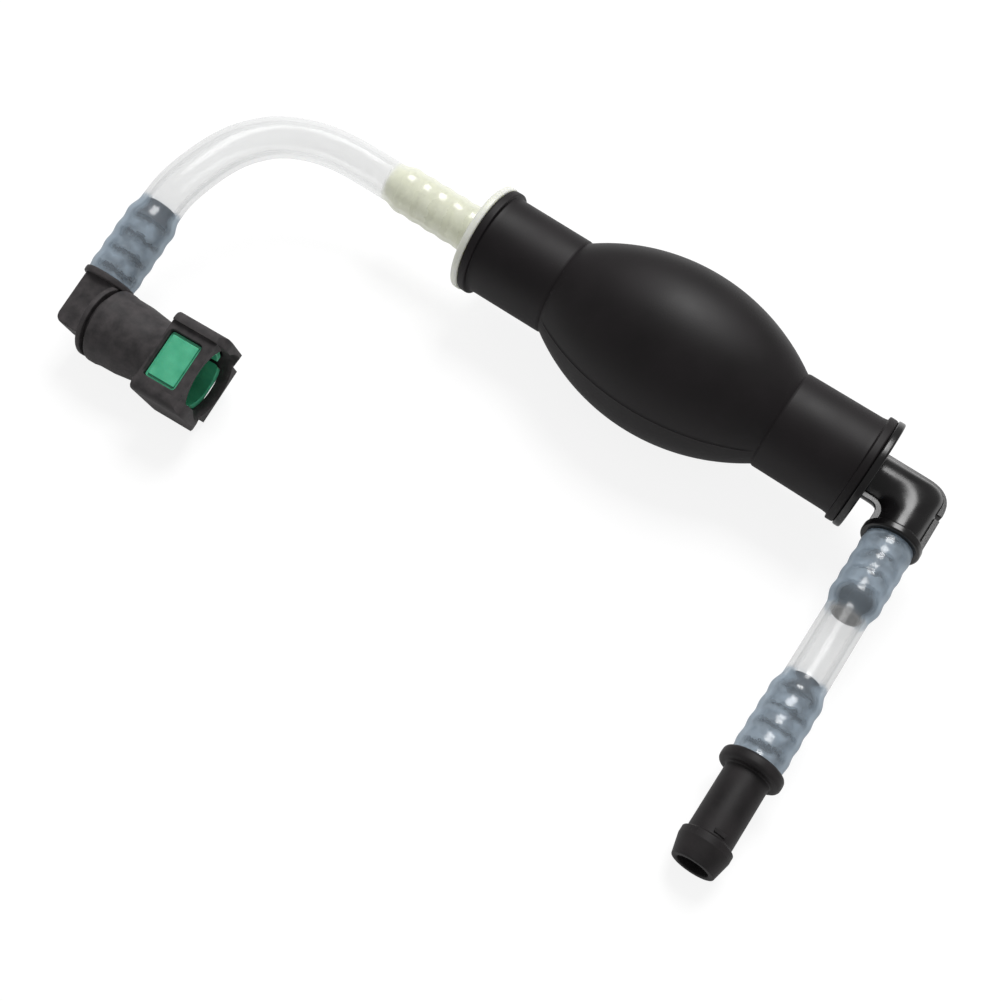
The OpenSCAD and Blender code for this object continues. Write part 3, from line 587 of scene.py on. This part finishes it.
bmesh.ops.bevel(elbow_mesh, geom=[edge for edge in elbow_mesh.edges if set(edge.verts) <= bend],
                offset=bend_turn, segments=6, profile=0.5, affect="EDGES", material=-1)
# Drawn in the arm's frame: x down the arm, y along the bulb. A notch cuts the rib past the bend.
inner, flange_y, foot = 3.0, flange_x - corner_x - 0.3, arm_end - 1.5
rib = prism(rounded([(-rib_r, flange_y, 0), (-rib_r, rib_r, rib_turn), (0.4, rib_r, 0.2),
                     (0.4, arm_r - 1, 0.1), (1.6, arm_r - 1, 0.1), (1.6, rib_r, 0.2), (foot, rib_r, 0),
                     (foot, inner, 0), (-inner, inner, 0), (-inner, flange_y, 0)]),
            outlet_arm, -rib_half, rib_half, 0.2)
web = prism(rounded([(inner, flange_y, 0), (web_r, flange_y, 0), (web_r, -web_r, 2),
                     (foot, -web_r, 0), (foot, -inner, 0), (inner, -inner, 0)]),
            outlet_arm, web_top - web_t, web_top, 0.1)
guide_holes = []
for k in range(5):
    turn = math.radians(72 * k)
    at = Vector((0, guide_hole_at * math.sin(turn), -guide_hole_at * math.cos(turn)))
    guide_holes.append(("DIFFERENCE", rod(Matrix.Translation(at), guide_x - 0.3,
                                          guide_x + guide_t + 0.3, guide_hole_r, 24)))
elbow_mesh = fitted(elbow_mesh, ("UNION", rib), ("UNION", web), *guide_holes)

# Black acetal, moulded: deep black with a wet gloss on round faces and a faint drag of flow marks.
black_acetal = moulded("black_acetal_moulded", ("#0E0D0E", "#161516"), 5, 1.6, 0.006, (0.2, 0.3),
                       **{"IOR": 1.46})

add_piece("outlet_moulding", elbow_mesh, black_acetal, "pump", "black_nylon", "outlet_valve_body")

# ---- Outlet stub ----
# One moulding in black glass-filled nylon: a barbed tail in the hose, a round collar that the hose
# stops at, a plain stem, and a bead behind a tapered nose that a bigger hose is clipped over.

stub_collar, stem_r, bead_r, stub_end, stub_bore, nose_r = 3, 4.95, 5.75, 98, 3.5, 4.75
bead_from, bead_to = 92.0, 93.6
tail_out = [(2 * stub_at - along, out, fillet) for along, out, fillet
            in barbed_corners(stub_at, stub_tail)]
stub_mesh = turned(rounded(
    tail_out[::-1] + [(stub_at, tail_r, 0.3), (stub_at, collar_r, 1.1),
                      (stub_at + stub_collar, collar_r, 1.1), (stub_at + stub_collar, stem_r, 0.4),
                      (bead_from - 0.5, stem_r, 0.3), (bead_from, bead_r, 0.3), (bead_to, bead_r, 0.8),
                      (stub_end, nose_r, 0.35), (stub_end, stub_bore, 0.3), (stub_at, stub_bore, 0.2),
                      (stub_at, bore_r, 0.2), (stub_at - stub_tail, bore_r, 0.2)]), outlet_arm)
# The mould's gate leaves a small raised pad on the stem, just behind the bead.
gate = outlet_arm @ Matrix.Rotation(math.radians(-10), 4, "X") @ Matrix.Translation((90.6, 0, stem_r))
gate_pad = prism([(-0.45, -1.3), (0.45, -1.3), (0.45, 1.3), (-0.45, 1.3)], gate, -0.6, 0.22, 0.1)
stub_mesh = fitted(stub_mesh, ("UNION", gate_pad))

# Black nylon 12, moulded: near-black with a low satin, and faint long clouds where it flowed.
black_nylon = moulded("black_nylon_12_moulded", ("#1C1A1B", "#292627"), 4, 0.4, 0.012, (0.5, 0.62),
                      **{"Specular IOR Level": 0.26})

outlet_stub = add_piece("stub_moulding", stub_mesh, black_nylon, "pump", "black_nylon", "outlet_stub")

# ---- Quick connector body ----
# The same black nylon: a block elbow with a barbed tail, a barrel with a groove behind a lip, a slim
# waist, and a square head. The head is open in front and has a window above and below for the pads.

connector = (Matrix.Translation((-flange_x - 57, -74, -8.8)) @ Matrix.Rotation(math.radians(4), 4, "Z")
             @ Matrix.Rotation(math.radians(24), 4, "X"))
down_tail = connector @ Matrix.Rotation(math.radians(90), 4, "Z")
to_mouth = connector @ Matrix(((0, 0, 1, 0), (1, 0, 0, 0), (0, 1, 0, 0), (0, 0, 0, 1)))
tail_from, block_half, head_from, head_to, head_half = 9.4, 4.3, 22.0, 35.5, 10.0
window_from, window_to, window_low, window_high = 22.9, 30.9, -6.3, 5.4
pocket_half, pocket_out = 3.5, 9.04
rail_in, rail_top, rail_front, cheek_turn, cheek_foot = 7.3, 9.2, 33.4, 4.0, 31.6

barrel = turned(rounded([(2.5, 0, 0), (2.5, 5, 0), (3.4, 8.6, 0.4), (4.6, 8.6, 0.3), (4.6, 7.0, 0.15),
                         (5.8, 7.0, 0.15), (5.8, 8.9, 0.4), (7.6, 8.9, 0.6), (9, 8.65, 1),
                         (13, 8.55, 6), (18.5, 7.8, 6), (22.2, 8.3, 0.5), (23, 8.6, 0),
                         (23, 0, 0)]), connector, ring=False)
block = prism(rounded([(-3.9, -5.3, 2.4), (4, -5.3, 0), (4, 8.6, 0), (-3.9, 8.6, 0.4)]), connector,
              -block_half, block_half, 0.8)
tail = turned(rounded([(0, 0, 0), (0, 3.8, 0.5), (7.8, 3.8, 0.3), (7.8, 6.1, 0.5),
                       (tail_from, 6.1, 0.5), (tail_from, tail_r, 0.3)]
                      + barbed_corners(tail_from, elbow_tail)
                      + [(tail_from + elbow_tail, 0, 0)]), down_tail, ring=False)
# The head sits a hair to one side of the barrel.
head_shift = 0.3
head_low, head_high = -head_half - head_shift, head_half - head_shift
head_mesh = prism(rounded([(head_low, -head_half, 2.2), (head_high, -head_half, 2.2),
                           (head_high, head_half, 2.2), (head_low, head_half, 2.2)]),
                  to_mouth, head_from, head_to, 0.4)
# Seen from beside, the two side walls end in rounded cheeks, which slant back below.
beside = connector @ Matrix.Rotation(math.radians(90), 4, "X")
cheeks = prism(rounded([(head_from - 1, -head_half - 0.02, 0),
                        (head_to + 0.02, -head_half - 0.02, cheek_turn),
                        (head_to + 0.02, head_half + 0.02, cheek_turn),
                        (head_from - 1, head_half + 0.02, 0)]),
               beside, -head_high - 0.02, -head_low + 0.02, 0.5)
slant_top, slant_low, past_head = -0.1, -head_half - 0.9, head_to + 5
slant = [(head_to + 0.4, slant_top), (cheek_foot - 0.4, slant_low), (past_head, slant_low),
         (past_head, slant_top)]
slants = [("DIFFERENCE", prism(slant, beside, side * (rail_in - 0.3), side * 13)) for side in (-1, 1)]
head_mesh = fitted(head_mesh, ("INTERSECT", cheeks), *slants)


def oblong(x, y, turn=0.0):
    """Outline between two values of x and two of y, with its corners turned."""
    return rounded([(x[0], y[0], turn), (x[1], y[0], turn), (x[1], y[1], turn), (x[0], y[1], turn)])


cuts = [rod(down_tail, 0, tail_from + elbow_tail + 1, bore_r),
        turned([(-0.5, 0), (-0.5, 2.75), (3.4, 2.75), (3.4, 4), (8, 4), (8, 6.3), (15.5, 6.3),
                (15.5, 6.85), (22.8, 6.85), (22.8, 8.2), (32.4, 8.2), (33.3, 8.7), (36.5, 8.7),
                (36.5, 0)], connector, ring=False),
        prism(oblong((rail_front, 38), (-rail_in, rail_in), 0.3), connector, -12, 12),
        prism(oblong((window_from, window_to), (window_low, window_high), 0.5), connector, -20, 20),
        prism(oblong((window_from, window_to), (-pocket_out, pocket_out)), connector, -pocket_half,
              pocket_half)]
# Above and below, the face between the rails is set back, and the window's rim is chamfered.
for side in (-1, 1):
    cuts.append(prism(oblong((head_from - 2, 38), (-rail_in, rail_in), 0.3), connector,
                      side * rail_top, side * 12))
    flare = prism(oblong((window_from - 1, window_to + 1), (window_low - 1, window_high + 1), 1.5),
                  connector, side * (rail_top - 0.5), side * (rail_top + 1))
    middle = connector @ Vector(((window_from + window_to) / 2, (window_low + window_high) / 2,
                                 side * (rail_top - 0.5)))
    for vert in flare.verts:
        if abs((vert.co - middle).dot(connector.to_3x3().col[2])) < 0.1:
            vert.co = middle + (vert.co - middle) * 0.82
    cuts.append(flare)
connector_mesh = fitted(barrel, *(("UNION", part) for part in (block, tail, head_mesh)),
                        *(("DIFFERENCE", cut) for cut in cuts))

# Black glass-filled nylon, moulded: a dry charcoal grey with no shine, mottled by the glass in it.
glass_nylon = moulded("black_glass_filled_nylon_moulded", ("#312F30", "#4A4647"), 2.2, 0.35, 0.018,
                      (0.6, 0.72), **{"Specular IOR Level": 0.3})

on_inlet_hose = [add_piece("connector_moulding", connector_mesh, glass_nylon, "pump", "black_nylon",
                           "connector_body", sharp=30)]

# ---- Retainer ----
# Green acetal ring in the head. Its two flat pads stand in the windows on broader skirts, and its two
# sides carry the hooks that hold a spigot's bead. Pressing the pads together springs the hooks apart.

band_from, band_to, band_in, band_out = 23.2, 30.6, 6.6, 7.9
pad_from, pad_to, pad_half, pad_foot, pad_top, pad_shift = 23.6, 30.4, 5.1, 3, 8.6, 0.5
skirt_half, skirt_foot, skirt_top = 5.75, 3.4, 8.1
latch_half, hook_from, hook_to, hook_in, hook_half = 3.15, 25.6, 27.8, 4.7, 1.65

# Green acetal, moulded: a clear mint green with a soft gloss, a shade deeper where it is thick.
green_acetal = moulded("green_acetal_moulded", ("#48B087", "#5CC49A"), 3, 0.5, 0.012, (0.3, 0.42),
                       **{"Subsurface Weight": 0.15, "Subsurface Scale": 1 * MM})

for side, turn in (("upper", 0), ("lower", 180)):
    place = connector @ Matrix.Rotation(math.radians(turn), 4, "X")
    pad_place = place @ Matrix.Translation((0, pad_shift if turn else -pad_shift, 0))
    pad = prism(oblong((pad_from, pad_to), (-pad_half, pad_half), 0.3), pad_place, pad_foot, pad_top, 0.3)
    skirt = prism(oblong((band_from - 0.2, band_to + 0.22), (-skirt_half, skirt_half), 0.7), pad_place,
                  skirt_foot, skirt_top, 0.15)
    pad = fitted(pad, ("UNION", skirt),
                 ("DIFFERENCE", rod(place, band_from - 1, band_to + 1, band_in, 96)))
    on_inlet_hose.append(add_piece(side + "_push_pad", pad, green_acetal, side + "_pad",
                                   "green_plastic", "release_pad_" + side))

for side, turn in (("rear", 0), ("front", 180)):
    place = connector @ Matrix.Rotation(math.radians(turn), 4, "X")
    band = turned(rounded([(band_from, band_in, 0.25), (band_from, band_out, 0.25),
                           (band_to, band_out, 0.25), (band_to, band_in, 0.25)]), place)
    hook = turned(rounded([(hook_from, hook_in, 0.2), (hook_from, band_in + 0.5, 0),
                           (hook_to + 0.9, band_in + 0.5, 0), (hook_to, hook_in, 0.3)]), place)
    sector = prism(oblong((band_from - 1, band_to + 1), (0, 12)), place, -latch_half, latch_half)
    hook_sector = prism(oblong((band_from - 1, band_to + 1), (0, 12)), place, -hook_half, hook_half)
    latch = fitted(fitted(band, ("INTERSECT", sector)),
                   ("UNION", fitted(hook, ("INTERSECT", hook_sector))))
    on_inlet_hose.append(add_piece(side + "_hook", latch, green_acetal, side + "_latch",
                                   "green_plastic", "latch_" + side))

# ---- Connector seals ----
# Two green rubber rings on a spigot's side of the barrel, a spacer ring between them, and a black
# bush pressed in behind them to keep them there.

ring_in, ring_out, ring_at, ring_gap = 4.05, 6.25, 8.05, 5.2

# Fluorocarbon rubber, moulded: dull dark green, with a talc-like bloom and almost no grain.
ring_rubber = moulded("green_fluorocarbon_rubber_moulded", ("#265A3F", "#316B4D"), 2, 0.3, 0.006,
                      (0.4, 0.55))


def round_section(start, low, high, sides=24):
    """Outline of a ring's round section, from start along the axis and between two radii."""
    r = (high - low) / 2
    return [(start + r - r * math.cos(math.tau * k / sides), low + r + r * math.sin(math.tau * k / sides))
            for k in range(sides)]


def square_section(x, out, soften=0.15):
    """Outline of a ring's square section between two places and two radii, with soft corners."""
    return rounded([(x[0], out[0], soften), (x[0], out[1], soften), (x[1], out[1], soften),
                    (x[1], out[0], soften)])


rings_mesh = fitted(turned(round_section(ring_at, ring_in, ring_out), connector),
                    ("UNION", turned(round_section(ring_at + ring_gap, ring_in, ring_out), connector)))
on_inlet_hose += [
    add_piece("seal_rings", rings_mesh, ring_rubber, "pump", "ring_rubber", "connector_o_rings"),
    add_piece("spacer_ring", turned(square_section((10.3, 13.2), (4.1, 6.25)), connector),
              black_acetal, "pump", "black_nylon", "connector_spacer"),
    add_piece("bush_ring", turned(square_section((15.5, 22.8), (4.0, 6.85), 0.3), connector),
              black_acetal, "pump", "black_nylon", "connector_bush"),
]

# ---- Check valves ----
# Each neck holds a white acetal poppet with a flat rubber seal, which a steel spring holds shut. A
# drilled wall guides the stem. The outlet's seat is a ring of its own, pressed into the plug.

poppet_r, poppet_t, stem_r, seal_t, seat_t = 5.0, 1.2, 1.5, 0.8, 3.4
spring_coil_r, wire_r = 3.4, 0.3

# White acetal, moulded: creamy and slippery, with a low even gloss.
white_acetal = moulded("white_acetal_moulded", ("#C9CCBB", "#D8DACB"), 4, 0.4, 0.006, (0.3, 0.38))

# Nitrile sheet, die-cut: plain dull black with a fine cloth print from the press.
seal_rubber = moulded("nitrile_sheet_die_cut", ("#1F1E1F", "#2A292A"), 3, 0.25, 0.01, (0.55, 0.7))

# Spring steel, drawn: bright wire with fine drag lines along it and a faint straw tarnish.
spring_steel = moulded("spring_steel_drawn", ("#A4A39F", "#BDBDBB"), 1.5, 0.12, 0.004, (0.22, 0.36),
                       Metallic=1.0)


def add_poppet(side, seat_x, stem_end):
    """Poppet with its seal on a seat at seat_x, and a stem that runs on to stem_end."""
    head = seat_x + seal_t
    poppet = turned(rounded([(head, 0, 0), (head, poppet_r, 0.2), (head + poppet_t, poppet_r, 0.3),
                             (head + poppet_t, stem_r, 0.3), (stem_end, stem_r, 0.4),
                             (stem_end, 0, 0)]), ring=False, steps=64)
    add_piece(side + "_check", poppet, white_acetal, side + "_valve", "valve_plastic",
              side + "_poppet")
    seal = turned(square_section((seat_x, head), (bore_r - 0.4, poppet_r), 0.1), steps=64)
    add_piece(side + "_check_washer", seal, seal_rubber, side + "_valve", "seal_rubber",
              side + "_poppet_seal")


def add_spring(side, start, end, turns):
    """Coil spring between two places on the bulb's axis, closed at its ends."""
    steps = 20 * turns
    run = [Vector((start + wire_r + (end - start - 2 * wire_r) * (0.5 - 0.5 * math.cos(math.pi * t)),
                   spring_coil_r * math.cos(math.tau * turns * t),
                   spring_coil_r * math.sin(math.tau * turns * t)))
           for t in (k / steps for k in range(steps + 1))]
    mesh = bmesh.new()
    rings = add_skin(mesh, [(place, wire_r) for place in places_along(run)], 12, closed=False)
    for cap in (rings[0], rings[-1]):
        mesh.faces.new(cap)
    spring = add_piece(side + "_coil", mesh, spring_steel, "pump", "spring_steel", side + "_spring")
    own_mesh(spring)


inlet_seat_x = -plug_end - inlet_chamber
cage_x = -plug_end - guide_t
add_poppet("inlet", inlet_seat_x, -plug_end)
add_spring("inlet", inlet_seat_x + seal_t + poppet_t, cage_x, 6)
cage = fitted(turned(square_section((cage_x, -plug_end), (stem_hole, chamber_r)), steps=72),
              *(("DIFFERENCE", rod(Matrix.Rotation(math.radians(72 * k), 4, "X")
                                   @ Matrix.Translation((0, 0, -guide_hole_at)),
                                   cage_x - 1, -plug_end + 1, guide_hole_r, 24)) for k in range(5)))
add_piece("inlet_stem_guide", cage, white_acetal, "pump", "valve_plastic", "inlet_cage")

outlet_seat_x = plug_end + seat_t
seat_ring = turned(square_section((plug_end, outlet_seat_x), (bore_r, chamber_r), 0.2), steps=72)
add_piece("outlet_seat_ring", seat_ring, white_acetal, "pump", "valve_plastic", "outlet_seat")
add_poppet("outlet", outlet_seat_x, guide_x + guide_t)
add_spring("outlet", outlet_seat_x + seal_t + poppet_t, guide_x, 5)
